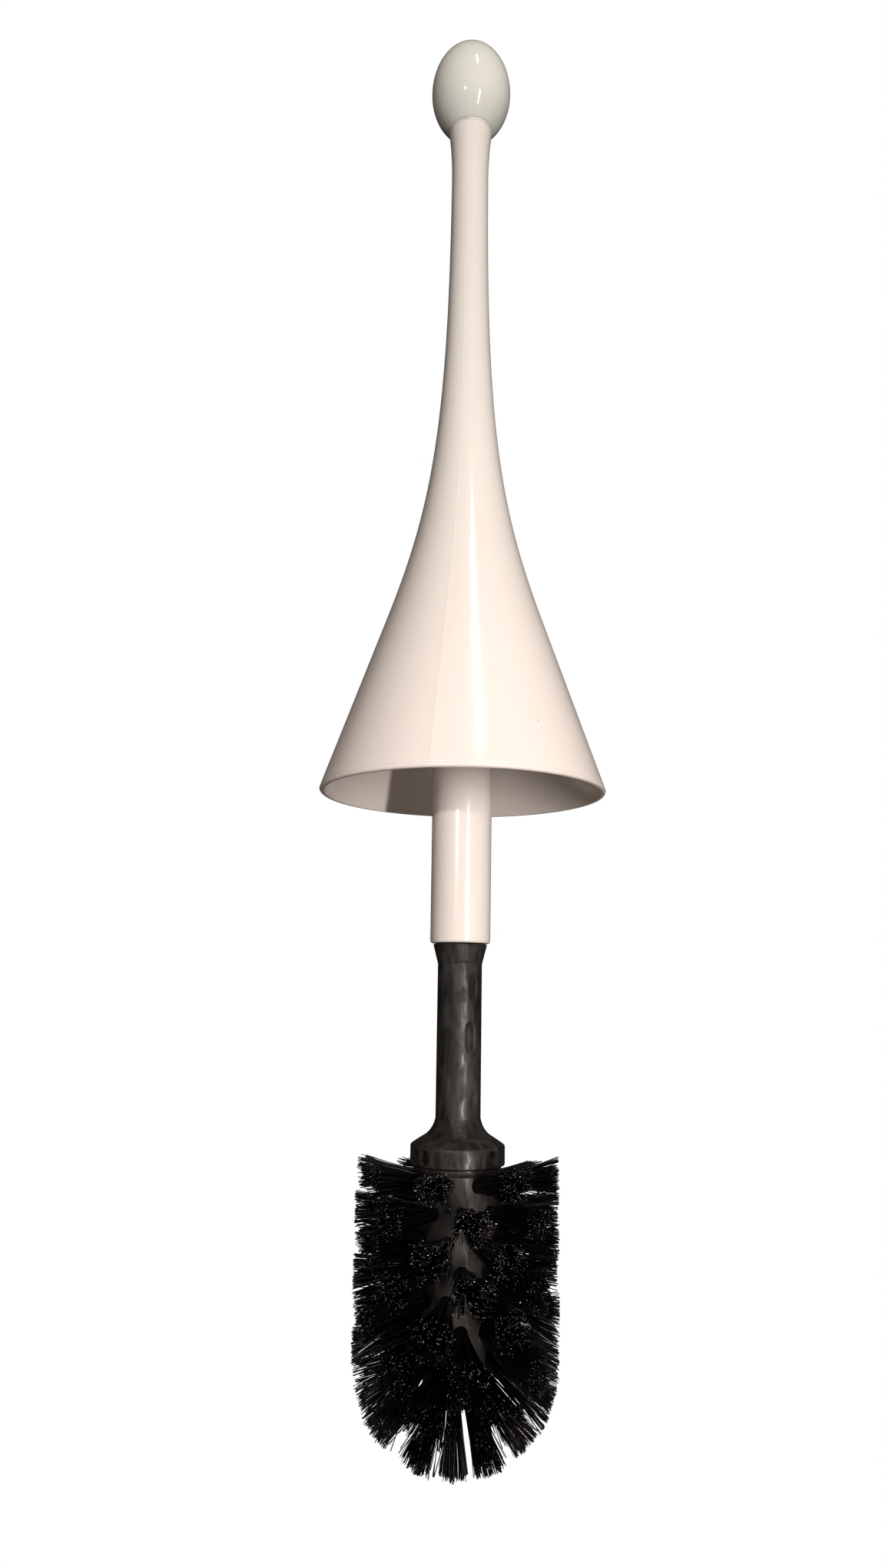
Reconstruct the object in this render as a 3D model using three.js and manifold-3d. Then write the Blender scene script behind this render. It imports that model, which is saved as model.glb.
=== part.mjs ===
// Toilet brush: an egg-shaped knob on a trumpet-shaped handle whose bell closes the brush's holder, a tube
// inside the bell, and a brush head that screws into the tube. Millimetres, +Z up, the front towards -Y.
// The origin is the centre of the bell's rim, the edge that the brush rests on in its holder.
import * as THREE from 'three';
import { mergeVertices } from 'three/addons/utils/BufferGeometryUtils.js';
import Module from 'manifold-3d';

const wasm = await Module();
wasm.setup();

const RADIANS = Math.PI / 180;
const at = (radius, height) => new THREE.Vector2(radius, height);

// ---- Driving dimensions ----

const GAP = 0.3; // clearance between pieces that meet

// The bell is a straight cone that bends into the neck, which flares again to its mouth under the knob.
const RIM_RADIUS = 53.4;
const RIM_ROUNDING = 1;
const CONE_SLOPE = 0.353; // radius lost per millimetre of height
const CONE_TOP_Z = 65;
const CONE_TOP_RADIUS = 30.9;
const BEND_REACH_LOW = 48; // heights of the bend's two Bezier handles
const BEND_REACH_HIGH = 115;
const NECK_RADIUS = 7.6;
const NECK_Z = 261.6;
const MOUTH_RADIUS = 9;
const MOUTH_Z = 284.4;
const BELL_WALL = 2.4;

const EGG_Z = 302.7; // height of the knob's widest section
const EGG_RADIUS = 16.6;
const EGG_HEIGHT_ABOVE = 22.7;
const EGG_HEIGHT_BELOW = 20.8;
const EGG_SEAT_RADIUS = 8.6; // where the egg is cut off above the mouth
const SPIGOT_RADIUS = 6.3;
const SPIGOT_LENGTH = 9;

const ROD_RADIUS = 2.5;
const ROD_HOLE_RADIUS = 2.8;
const INSERT_RADIUS = 4;
const INSERT_LENGTH = 14;
const ROD_PAST_INSERT = 6; // length of rod above the insert
const CHAMFER = 0.5;

const TUBE_TOP_Z = 129;
const TUBE_TOP_RADIUS = 11.45;
const TUBE_MOUTH_Z = -55.2;
const TUBE_MOUTH_RADIUS = 11;
const TUBE_BORE_RADIUS = 9.2;
const TUBE_END_WALL = 3.5;
const CONE_PLUG_LENGTH = 30;
const PLUG_PLAY = 0.4;
const WASHER_RADIUS = 7;
const WASHER_THICKNESS = 1.2;
const NUT_ACROSS_FLATS = 8;
const NUT_HEIGHT = 4;
const ROD_PAST_NUT = 3;

const THREAD_LEAD = 4;
const THREAD_ROOT_RADIUS = 6.1;
const THREAD_CREST_RADIUS = 7;
const THREAD_PLAY = 0.4; // radial clearance of the socket's thread
const SPIGOT_TOP_Z = -29;
const SPIGOT_NECK_RADIUS = 5.9;
const THREAD_BOTTOM_Z = -52.8;
const BUSH_RADIUS = 8.9;
const BUSH_TOP_Z = -26;
const BUSH_BOTTOM_Z = -53.4;
const SEAL_INNER_RADIUS = 6.3;
const SEAL_OUTER_RADIUS = 8.8;
const SEAL_HEIGHT = 1.5;

const FLARE_TOP_Z = -55.5;
const FLARE_RADIUS = 9.8;
const FLARE_BOTTOM_Z = -62.3;
const SHANK_RADIUS = 8.05;
const SHANK_BOTTOM_Z = -116.5;
const SHOULDER_RADIUS = 12; // where the shoulder above the collar meets the fillet of the shank
const SHOULDER_Z = -122.6;
const SHOULDER_CORNER = at(16.5, -125.35);
const FILLET_CORNER = at(8.9, -120.7);
const COLLAR_RADIUS = 16.75;
const COLLAR_TOP_Z = -125.9;
const COLLAR_BOTTOM_Z = -132.2;
const COLLAR_BORE_RADIUS = 14.3;
const COLLAR_BORE_TOP_Z = -126;
const WINDOW_RADIUS = 2.6;
const WINDOW_Z = -129;
const WINDOW_COUNT = 4;
const NUB_RADIUS = 2.2;
const NUB_REACH = 16; // distance of a snap nub's face from the axis
const POCKET_DEPTH = 0.6;
const POCKET_RADIUS = 2.2;
const POCKET_TURN = 35; // degrees from the front towards +X
const POCKETS = [[-66, -75], [-83, -94], [-106.5, -111.5]]; // top and bottom of each pocket

const CORE_BOSS_RADIUS = 14;
const CORE_FLANGE_RADIUS = 15.5;
const CORE_TOP_RADIUS = 14.6;
const CORE_TOP_Z = -135;
const CORE_BOTTOM_RADIUS = 11;
const CORE_BOTTOM_Z = -203;
const CORE_DOME = 9;

const ROW_COUNT = 7;
const ROW_TOP_Z = -137.7;
const ROW_PITCH = 9.5;
const ROW_TILTS = [-9, 0, 4, 7, 12, 21, 31]; // degrees that each row's tufts lean down
const TUFTS_PER_ROW = 8;
const ODD_ROW_TURN = -15; // degrees from the front towards +X
const EVEN_ROW_TURN = 7.5;
const TUFT_HOLE_RADIUS = 2.6;
const TUFT_RADIUS = TUFT_HOLE_RADIUS - GAP;
const TUFT_HOLE_END_RADIUS = 7.8; // distance of a hole's floor from the axis
const TUFT_STRAIGHT = 1.8; // length outside the core before a tuft fans out
const TUFT_LENGTH = 27; // before the brush is trimmed round
const TUFT_REACH = 21; // from the core to the trimmed tips
const TIP_HEIGHT_LIMIT = 12;
const TUFT_SPREAD = 0.72; // half width gained per millimetre, so that a row's tufts meet at their tips
const TRIM_RADIUS = 35.4;
const TRIM_BEND_Z = -196;
const TRIM_BOTTOM_Z = -233;
const END_TUFT_COUNT = 6;
const END_TUFT_SEAT = 23; // degrees below the widest part of the core's dome
const END_TUFT_TILT = 47;
const END_TUFT_TURN = 30;
const END_TUFT_TIP_RADIUS = 6;
const END_HOLE_DEPTH = 3.6;

// ---- Solids ----

// The geometry with shared corners merged and the flat triangles on a lathe's axis dropped.
function welded(geometry) {
  const bare = geometry.clone();
  bare.deleteAttribute('normal');
  bare.deleteAttribute('uv');
  const merged = mergeVertices(bare);
  const corners = merged.index.array;
  const kept = [];
  for (let i = 0; i < corners.length; i += 3) {
    const [a, b, c] = corners.slice(i, i + 3);
    if (a !== b && b !== c && c !== a) {
      kept.push(a, b, c);
    }
  }
  merged.setIndex(kept);
  return merged;
}

function solid(geometry) {
  const mesh = welded(geometry);
  return new wasm.Manifold(new wasm.Mesh({
    numProp: 3,
    vertProperties: mesh.attributes.position.array,
    triVerts: Uint32Array.from(mesh.index.array),
  }));
}

function geometryOf(body) {
  const mesh = body.getMesh();
  const geometry = new THREE.BufferGeometry();
  geometry.setAttribute('position', new THREE.BufferAttribute(mesh.vertProperties, 3));
  geometry.setIndex(new THREE.BufferAttribute(mesh.triVerts, 1));
  geometry.computeVertexNormals();
  return geometry;
}

// An outline of radius and height turned about Z, with a corner at so many degrees from the front towards
// +X. The outline runs up the outside, and down the inside if it closes.
function turned(outline, segments, corner = 0) {
  return new THREE.LatheGeometry(outline, segments, corner * RADIANS).rotateX(Math.PI / 2);
}

// The same for a ring, whose outline closes on itself.
function turnedRing(outline, segments) {
  return turned([...outline, outline[0]], segments);
}

// A closed body through hexagons along a line, with a flat to each side. Each station is its distance along
// the line, its half width and its half height at the flats.
function loft(root, direction, sideways, stations) {
  const upwards = new THREE.Vector3().crossVectors(direction, sideways);
  const sides = 6;
  const corners = [];
  for (const [distance, wide, high] of stations) {
    for (let i = 0; i < sides; i++) {
      const angle = (i + 0.5) * 2 * Math.PI / sides;
      const point = root.clone().addScaledVector(direction, distance);
      point.addScaledVector(sideways, wide * Math.cos(angle) / Math.cos(Math.PI / sides));
      point.addScaledVector(upwards, high * Math.sin(angle) / Math.cos(Math.PI / sides));
      corners.push(...point);
    }
  }
  const last = (stations.length - 1) * sides;
  const triangles = [];
  for (let i = 0; i < last; i++) {
    const next = i % sides === sides - 1 ? i + 1 - sides : i + 1;
    triangles.push(i, next, next + sides, i, next + sides, i + sides);
  }
  for (let i = 1; i < sides - 1; i++) {
    triangles.push(0, i + 1, i, last, last + i, last + i + 1);
  }
  const geometry = new THREE.BufferGeometry();
  geometry.setAttribute('position', new THREE.Float32BufferAttribute(corners, 3));
  geometry.setIndex(triangles);
  return geometry;
}

// A round bar between two distances from the axis, level and pointing away from it.
function radialBar(radius, from, to, angle, height, segments) {
  const bar = new THREE.CylinderGeometry(radius, radius, to - from, segments);
  bar.rotateZ(-Math.PI / 2);
  bar.translate((from + to) / 2, 0, height);
  return bar.rotateZ(angle);
}

// The angle about Z of a direction that is turned by so many degrees from the front towards +X.
const fromFront = (degrees) => (degrees - 90) * RADIANS;

// ---- Handle bell ----

const BELL_SEGMENTS = 40;
const SPIGOT_SEAT_RADIUS = SPIGOT_RADIUS + GAP;
const SPIGOT_SEAT_Z = MOUTH_Z - SPIGOT_LENGTH;

const bend = new THREE.CubicBezierCurve(
  at(CONE_TOP_RADIUS, CONE_TOP_Z),
  at(CONE_TOP_RADIUS - CONE_SLOPE * BEND_REACH_LOW, CONE_TOP_Z + BEND_REACH_LOW),
  at(NECK_RADIUS, NECK_Z - BEND_REACH_HIGH),
  at(NECK_RADIUS, NECK_Z),
);

// The inside of the bell's bend, one wall inwards from the outside, from the cone up to the neck.
function bendInside(divisions) {
  const points = [];
  for (let i = 0; i <= divisions; i++) {
    const along = bend.getTangent(i / divisions);
    const point = bend.getPoint(i / divisions);
    points.push(at(point.x - BELL_WALL * along.y, point.y + BELL_WALL * along.x));
  }
  return points;
}

const BEND_INSIDE = bendInside(7);

function bellOutline() {
  const low = BEND_INSIDE[0];
  const inner = low.x + CONE_SLOPE * low.y;
  const rimArc = new THREE.EllipseCurve(
    RIM_RADIUS - RIM_ROUNDING, RIM_ROUNDING, RIM_ROUNDING, RIM_ROUNDING, -Math.PI / 2, 0);
  const flare = new THREE.QuadraticBezierCurve(
    at(NECK_RADIUS, NECK_Z), at(NECK_RADIUS, NECK_Z + 12), at(MOUTH_RADIUS, MOUTH_Z - 0.5));
  return [
    at(inner + 0.3, 0),
    ...rimArc.getPoints(2),
    ...bend.getPoints(10),
    ...flare.getPoints(3).slice(1),
    at(MOUTH_RADIUS - 0.4, MOUTH_Z),
    at(SPIGOT_SEAT_RADIUS, MOUTH_Z),
    at(SPIGOT_SEAT_RADIUS, SPIGOT_SEAT_Z),
    at(NECK_RADIUS - BELL_WALL, SPIGOT_SEAT_Z),
    ...BEND_INSIDE.toReversed(),
    at(inner - 0.2, 0.6),
  ];
}

const handleBell = () => turnedRing(bellOutline(), BELL_SEGMENTS);

// ---- Knob, its insert and the tie rod ----

const INSERT_BOTTOM_Z = SPIGOT_SEAT_Z + 0.9;

function knob() {
  const seatAngle = Math.acos(EGG_SEAT_RADIUS / EGG_RADIUS);
  const below = new THREE.EllipseCurve(0, EGG_Z, EGG_RADIUS, EGG_HEIGHT_BELOW, -seatAngle, 0);
  const above = new THREE.EllipseCurve(0, EGG_Z, EGG_RADIUS, EGG_HEIGHT_ABOVE, 0, Math.PI / 2);
  const seatZ = below.getPoint(0).y;
  const boreTop = INSERT_BOTTOM_Z + INSERT_LENGTH + GAP;
  const rodTop = INSERT_BOTTOM_Z + INSERT_LENGTH + ROD_PAST_INSERT + 1;
  const bottom = SPIGOT_SEAT_Z + CHAMFER;
  return turned([
    at(0, rodTop),
    at(ROD_HOLE_RADIUS, rodTop),
    at(ROD_HOLE_RADIUS, boreTop),
    at(INSERT_RADIUS + GAP, boreTop),
    at(INSERT_RADIUS + GAP, bottom),
    at(SPIGOT_RADIUS - CHAMFER, bottom),
    at(SPIGOT_RADIUS, bottom + CHAMFER),
    at(SPIGOT_RADIUS, seatZ),
    ...below.getPoints(4),
    ...above.getPoints(6).slice(1),
  ], 24);
}

function knobInsert() {
  const top = INSERT_BOTTOM_Z + INSERT_LENGTH;
  const land = 5;
  const waist = INSERT_RADIUS - CHAMFER;
  return turnedRing([
    at(ROD_HOLE_RADIUS, INSERT_BOTTOM_Z),
    at(INSERT_RADIUS, INSERT_BOTTOM_Z),
    at(INSERT_RADIUS, INSERT_BOTTOM_Z + land),
    at(waist, INSERT_BOTTOM_Z + land + CHAMFER),
    at(waist, top - land - CHAMFER),
    at(INSERT_RADIUS, top - land),
    at(INSERT_RADIUS, top),
    at(ROD_HOLE_RADIUS, top),
  ], 20);
}

const WASHER_TOP_Z = TUBE_TOP_Z - TUBE_END_WALL - GAP;
const NUT_TOP_Z = WASHER_TOP_Z - WASHER_THICKNESS - GAP;
const ROD_BOTTOM_Z = NUT_TOP_Z - NUT_HEIGHT - ROD_PAST_NUT;

function tieRod() {
  const top = INSERT_BOTTOM_Z + INSERT_LENGTH + ROD_PAST_INSERT;
  return turned([
    at(0, ROD_BOTTOM_Z),
    at(ROD_RADIUS - CHAMFER, ROD_BOTTOM_Z),
    at(ROD_RADIUS, ROD_BOTTOM_Z + CHAMFER),
    at(ROD_RADIUS, top - CHAMFER),
    at(ROD_RADIUS - CHAMFER, top),
    at(0, top),
  ], 16);
}

function washer() {
  return turnedRing([
    at(ROD_HOLE_RADIUS, WASHER_TOP_Z - WASHER_THICKNESS),
    at(WASHER_RADIUS, WASHER_TOP_Z - WASHER_THICKNESS),
    at(WASHER_RADIUS, WASHER_TOP_Z),
    at(ROD_HOLE_RADIUS, WASHER_TOP_Z),
  ], 20);
}

function nut() {
  const corner = NUT_ACROSS_FLATS / 2 / Math.cos(Math.PI / 6);
  const outline = new THREE.Shape();
  for (let i = 0; i < 6; i++) {
    const angle = i * Math.PI / 3;
    const step = i === 0 ? 'moveTo' : 'lineTo';
    outline[step](corner * Math.cos(angle), corner * Math.sin(angle));
  }
  outline.closePath();
  outline.holes.push(new THREE.Path().absarc(0, 0, ROD_HOLE_RADIUS, 0, 2 * Math.PI, true));
  const geometry = new THREE.ExtrudeGeometry(
    outline, { depth: NUT_HEIGHT, bevelEnabled: false, curveSegments: 8 });
  return geometry.translate(0, 0, NUT_TOP_Z - NUT_HEIGHT);
}

// ---- Inner tube and what it holds ----

const TUBE_SEGMENTS = 28;

// The bell's inner radius at a height within the bend.
function insideRadius(height) {
  const above = BEND_INSIDE.findIndex((point) => point.y >= height);
  const [low, high] = [BEND_INSIDE[above - 1], BEND_INSIDE[above]];
  return THREE.MathUtils.mapLinear(height, low.y, high.y, low.x, high.x);
}

function centringCone() {
  const bottom = TUBE_TOP_Z + GAP;
  const outside = [];
  for (let i = 0; i <= 3; i++) {
    const height = bottom + i * CONE_PLUG_LENGTH / 3;
    outside.push(at(insideRadius(height) - PLUG_PLAY, height));
  }
  return turnedRing([
    at(ROD_HOLE_RADIUS, bottom),
    ...outside,
    at(ROD_HOLE_RADIUS, bottom + CONE_PLUG_LENGTH),
  ], BELL_SEGMENTS / 2);
}

function innerTube() {
  const rounding = 0.6;
  return turnedRing([
    at(TUBE_BORE_RADIUS, TUBE_MOUTH_Z),
    at(TUBE_MOUTH_RADIUS - rounding, TUBE_MOUTH_Z),
    at(TUBE_MOUTH_RADIUS - 0.3 * rounding, TUBE_MOUTH_Z + 0.3 * rounding),
    at(TUBE_MOUTH_RADIUS, TUBE_MOUTH_Z + rounding),
    at(TUBE_TOP_RADIUS, TUBE_TOP_Z - 1),
    at(TUBE_TOP_RADIUS - 0.4, TUBE_TOP_Z),
    at(ROD_HOLE_RADIUS, TUBE_TOP_Z),
    at(ROD_HOLE_RADIUS, TUBE_TOP_Z - TUBE_END_WALL),
    at(TUBE_BORE_RADIUS, TUBE_TOP_Z - TUBE_END_WALL),
  ], TUBE_SEGMENTS);
}

// A right-handed thread with one rise, crest, fall and root in each turn. Its facets follow the helix, and
// its ends are cut flat by the body it is joined to or taken from.
function threadedRod(rootRadius, crestRadius) {
  const columns = 16;
  const radii = [rootRadius, crestRadius, crestRadius, rootRadius];
  const start = THREAD_BOTTOM_Z - 2 * THREAD_LEAD;
  const rows = 4 * Math.ceil((BUSH_TOP_Z - start) / THREAD_LEAD + 1);
  const corners = [];
  for (let row = 0; row <= rows; row++) {
    for (let column = 0; column < columns; column++) {
      const angle = 2 * Math.PI * column / columns;
      const height = start + THREAD_LEAD * (row / 4 + column / columns);
      const radius = radii[row % 4];
      corners.push(radius * Math.cos(angle), radius * Math.sin(angle), height);
    }
  }
  const corner = (row, column) => (column < columns
    ? row * columns + column
    : (row + 4) * columns);
  const triangles = [];
  for (let column = 0; column < columns; column++) {
    const seam = column === columns - 1;
    for (let row = 0; row < (seam ? rows - 4 : rows); row++) {
      const [a, b] = [corner(row, column), corner(row, column + 1)];
      const [c, d] = [corner(row + 1, column + 1), corner(row + 1, column)];
      triangles.push(a, b, c, a, c, d);
    }
  }
  const bottomEdge = [];
  const topEdge = [];
  for (let column = 0; column < columns; column++) {
    bottomEdge.push(corner(0, column));
    topEdge.push(corner(rows, column));
  }
  for (let step = 1; step <= 4; step++) {
    bottomEdge.push(corner(5 - step, 0));
    topEdge.push(corner(rows - step, columns - 1));
  }
  const bottomCentre = corners.length / 3;
  corners.push(0, 0, start - THREAD_LEAD);
  corners.push(0, 0, start + THREAD_LEAD * (rows / 4 + 2));
  closeFan(triangles, bottomEdge, bottomCentre, false);
  closeFan(triangles, topEdge, bottomCentre + 1, true);
  const geometry = new THREE.BufferGeometry();
  geometry.setAttribute('position', new THREE.Float32BufferAttribute(corners, 3));
  geometry.setIndex(triangles);
  return solid(geometry);
}

// Triangles from a closed edge to a point.
function closeFan(triangles, edge, centre, facingUp) {
  for (let i = 0; i < edge.length; i++) {
    const [a, b] = [edge[i], edge[(i + 1) % edge.length]];
    triangles.push(...(facingUp ? [a, b, centre] : [b, a, centre]));
  }
}

function socketBush() {
  const blank = solid(turned([
    at(0, BUSH_BOTTOM_Z),
    at(BUSH_RADIUS, BUSH_BOTTOM_Z),
    at(BUSH_RADIUS, BUSH_TOP_Z),
    at(0, BUSH_TOP_Z),
  ], TUBE_SEGMENTS));
  const thread = threadedRod(THREAD_ROOT_RADIUS + THREAD_PLAY, THREAD_CREST_RADIUS + THREAD_PLAY);
  return geometryOf(blank.subtract(thread));
}

function stemSeal() {
  const bottom = FLARE_TOP_Z + GAP;
  const corner = 0.4;
  return turnedRing([
    at(SEAL_INNER_RADIUS + corner, bottom),
    at(SEAL_OUTER_RADIUS - corner, bottom),
    at(SEAL_OUTER_RADIUS, bottom + corner),
    at(SEAL_OUTER_RADIUS, bottom + SEAL_HEIGHT - corner),
    at(SEAL_OUTER_RADIUS - corner, bottom + SEAL_HEIGHT),
    at(SEAL_INNER_RADIUS + corner, bottom + SEAL_HEIGHT),
    at(SEAL_INNER_RADIUS, bottom + SEAL_HEIGHT - corner),
    at(SEAL_INNER_RADIUS, bottom + corner),
  ], 20);
}

// ---- Brush stem ----

function spigotThread() {
  const clear = THREAD_CREST_RADIUS + 0.2;
  const blank = solid(turned([
    at(0, THREAD_BOTTOM_Z),
    at(SPIGOT_NECK_RADIUS, THREAD_BOTTOM_Z),
    at(clear, THREAD_BOTTOM_Z + 1.3),
    at(clear, SPIGOT_TOP_Z - 1.2),
    at(THREAD_ROOT_RADIUS - 0.1, SPIGOT_TOP_Z),
    at(0, SPIGOT_TOP_Z),
  ], 16));
  return blank.intersect(threadedRod(THREAD_ROOT_RADIUS, THREAD_CREST_RADIUS));
}

function stemOutline() {
  const shoulderTop = at(SHOULDER_RADIUS, SHOULDER_Z);
  const fillet = new THREE.QuadraticBezierCurve(
    shoulderTop, FILLET_CORNER, at(SHANK_RADIUS, SHANK_BOTTOM_Z));
  const shoulder = new THREE.QuadraticBezierCurve(
    at(COLLAR_RADIUS, COLLAR_TOP_Z), SHOULDER_CORNER, shoulderTop);
  return [
    at(0, COLLAR_BORE_TOP_Z),
    at(COLLAR_BORE_RADIUS, COLLAR_BORE_TOP_Z),
    at(COLLAR_BORE_RADIUS, COLLAR_BOTTOM_Z),
    at(COLLAR_RADIUS - 0.3, COLLAR_BOTTOM_Z),
    at(COLLAR_RADIUS, COLLAR_BOTTOM_Z + 0.3),
    ...shoulder.getPoints(3),
    ...fillet.getPoints(4).slice(1),
    at(SHANK_RADIUS, FLARE_BOTTOM_Z),
    at(FLARE_RADIUS, FLARE_TOP_Z - 0.3),
    at(FLARE_RADIUS - 0.3, FLARE_TOP_Z),
    at(SPIGOT_NECK_RADIUS, FLARE_TOP_Z),
    at(SPIGOT_NECK_RADIUS, THREAD_BOTTOM_Z + 1),
    at(0, THREAD_BOTTOM_Z + 1),
  ];
}

// A shallow flat-floored pocket with round ends in the shank's side.
function stemPocket([top, bottom]) {
  const floor = SHANK_RADIUS - POCKET_DEPTH;
  const depth = 3; // from the floor to well outside the shank
  const outline = new THREE.Shape();
  outline.absarc(0, top - POCKET_RADIUS, POCKET_RADIUS, 0, Math.PI, false);
  outline.absarc(0, bottom + POCKET_RADIUS, POCKET_RADIUS, Math.PI, 2 * Math.PI, false);
  outline.closePath();
  const block = new THREE.ExtrudeGeometry(
    outline, { depth, bevelEnabled: false, curveSegments: 6 });
  block.rotateX(Math.PI / 2);
  block.translate(0, -floor, 0);
  return solid(block.rotateZ(POCKET_TURN * RADIANS));
}

const windowAngle = (index) => fromFront(45 + index * 360 / WINDOW_COUNT);

function brushStem() {
  let stem = solid(turned(stemOutline(), 32)).add(spigotThread());
  for (let i = 0; i < WINDOW_COUNT; i++) {
    const hole = radialBar(WINDOW_RADIUS, 12, 18, windowAngle(i), WINDOW_Z, 12);
    stem = stem.subtract(solid(hole));
  }
  for (const pocket of POCKETS) {
    stem = stem.subtract(stemPocket(pocket));
  }
  return geometryOf(stem);
}

// ---- Bristle core and tufts ----

const DOWN = new THREE.Vector3(0, 0, -1);

// Where one tuft leaves the core: the point, its direction, the direction across it and its hole's depth.
function tuftPlace(radius, height, angle, tilt, depth) {
  const out = new THREE.Vector3(Math.cos(angle), Math.sin(angle), 0);
  const root = out.clone().multiplyScalar(radius).setZ(height);
  const direction = out.clone().multiplyScalar(Math.cos(tilt)).addScaledVector(DOWN, Math.sin(tilt));
  const sideways = new THREE.Vector3(-Math.sin(angle), Math.cos(angle), 0);
  return { root, direction, sideways, depth };
}

const rowHeight = (row) => ROW_TOP_Z - ROW_PITCH * row;

const coreRadius = (height) => THREE.MathUtils.mapLinear(
  height, CORE_TOP_Z, CORE_BOTTOM_Z, CORE_TOP_RADIUS, CORE_BOTTOM_RADIUS);

function rowPlaces(row) {
  const height = rowHeight(row);
  const radius = coreRadius(Math.max(height, CORE_BOTTOM_Z)) - 0.1;
  const tilt = ROW_TILTS[row] * RADIANS;
  const depth = (radius - TUFT_HOLE_END_RADIUS) / Math.cos(tilt);
  const places = [];
  for (let i = 0; i < TUFTS_PER_ROW; i++) {
    const turn = (row % 2 ? EVEN_ROW_TURN : ODD_ROW_TURN) + i * 360 / TUFTS_PER_ROW;
    places.push(tuftPlace(radius, height, fromFront(turn), tilt, depth));
  }
  return places;
}

function endPlaces() {
  const seat = END_TUFT_SEAT * RADIANS;
  const radius = CORE_BOTTOM_RADIUS * Math.cos(seat);
  const height = CORE_BOTTOM_Z - CORE_DOME * Math.sin(seat);
  const places = [];
  for (let i = 0; i < END_TUFT_COUNT; i++) {
    const angle = fromFront(END_TUFT_TURN + i * 360 / END_TUFT_COUNT);
    places.push(tuftPlace(radius, height, angle, END_TUFT_TILT * RADIANS, END_HOLE_DEPTH));
  }
  return places;
}

const centrePlace = () => tuftPlace(0, CORE_BOTTOM_Z - CORE_DOME, 0, Math.PI / 2, END_HOLE_DEPTH);

function tuftHole({ root, direction, sideways, depth }) {
  const past = 4; // out of the core's surface
  return solid(loft(root, direction, sideways, [
    [-depth, TUFT_HOLE_RADIUS, TUFT_HOLE_RADIUS],
    [past, TUFT_HOLE_RADIUS, TUFT_HOLE_RADIUS],
  ]));
}

function bristleCore() {
  const dome = new THREE.EllipseCurve(
    0, CORE_BOTTOM_Z, CORE_BOTTOM_RADIUS, CORE_DOME, -Math.PI / 2, 0);
  const bossTop = COLLAR_BORE_TOP_Z - GAP;
  const flangeTop = COLLAR_BOTTOM_Z - 0.5;
  const cornerTurn = ODD_ROW_TURN + 90 / TUFTS_PER_ROW;
  const body = solid(turned([
    ...dome.getPoints(4),
    at(CORE_TOP_RADIUS, CORE_TOP_Z),
    at(CORE_FLANGE_RADIUS, flangeTop - 1),
    at(0, flangeTop - 1),
  ], 2 * TUFTS_PER_ROW, cornerTurn));
  const boss = solid(turned([
    at(0, CORE_TOP_Z + 0.5),
    at(CORE_FLANGE_RADIUS - 0.8, CORE_TOP_Z + 0.5),
    at(CORE_FLANGE_RADIUS, flangeTop),
    at(CORE_BOSS_RADIUS, flangeTop),
    at(CORE_BOSS_RADIUS, bossTop - 0.4),
    at(CORE_BOSS_RADIUS - 0.4, bossTop),
    at(0, bossTop),
  ], 32));
  let core = body.add(boss);
  for (let i = 0; i < WINDOW_COUNT; i++) {
    core = core.add(solid(radialBar(NUB_RADIUS, 12, NUB_REACH, windowAngle(i), WINDOW_Z, 12)));
  }
  for (let row = 0; row < ROW_COUNT; row++) {
    for (const place of rowPlaces(row)) {
      core = core.subtract(tuftHole(place));
    }
  }
  for (const place of [...endPlaces(), centrePlace()]) {
    core = core.subtract(tuftHole(place));
  }
  return geometryOf(core);
}

// The round shape that all tufts are trimmed to.
function trimShape() {
  const end = new THREE.EllipseCurve(
    0, TRIM_BEND_Z, TRIM_RADIUS, TRIM_BEND_Z - TRIM_BOTTOM_Z, -Math.PI / 2, 0);
  return solid(turned([
    ...end.getPoints(6),
    at(TRIM_RADIUS, COLLAR_TOP_Z),
    at(0, COLLAR_TOP_Z),
  ], 24, ODD_ROW_TURN));
}

const TRIM = trimShape();

// Half the height that a row's tips may take without touching the next row's.
function tipHalfHeight(row) {
  const tipHeight = (i) => rowHeight(i) - TUFT_REACH * Math.tan(ROW_TILTS[i] * RADIANS);
  const above = row > 0 ? tipHeight(row - 1) - tipHeight(row) : Infinity;
  const below = row < ROW_COUNT - 1 ? tipHeight(row) - tipHeight(row + 1) : Infinity;
  return (Math.min(above, below, TIP_HEIGHT_LIMIT) / 2 - GAP) * Math.cos(Math.PI / 6);
}

function bristleRow(row) {
  const wide = TUFT_RADIUS + TUFT_SPREAD * TUFT_LENGTH;
  const high = TUFT_RADIUS + (tipHalfHeight(row) - TUFT_RADIUS) * TUFT_LENGTH / TUFT_REACH;
  let tufts = null;
  for (const { root, direction, sideways, depth } of rowPlaces(row)) {
    const tuft = solid(loft(root, direction, sideways, [
      [GAP - depth, TUFT_RADIUS, TUFT_RADIUS],
      [TUFT_STRAIGHT, TUFT_RADIUS, TUFT_RADIUS],
      [TUFT_LENGTH, wide, high],
    ]));
    tufts = tufts ? tufts.add(tuft) : tuft;
  }
  return geometryOf(tufts.intersect(TRIM));
}

function endTuft({ root, direction, sideways, depth }) {
  const tuft = solid(loft(root, direction, sideways, [
    [GAP - depth, TUFT_RADIUS, TUFT_RADIUS],
    [TUFT_STRAIGHT, TUFT_RADIUS, TUFT_RADIUS],
    [TUFT_LENGTH, END_TUFT_TIP_RADIUS, END_TUFT_TIP_RADIUS],
  ]));
  return geometryOf(tuft.intersect(TRIM));
}

// ---- Materials and the whole brush ----

const finish = (color, roughness, metalness) => new THREE.MeshStandardMaterial(
  { color, roughness, metalness });

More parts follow.
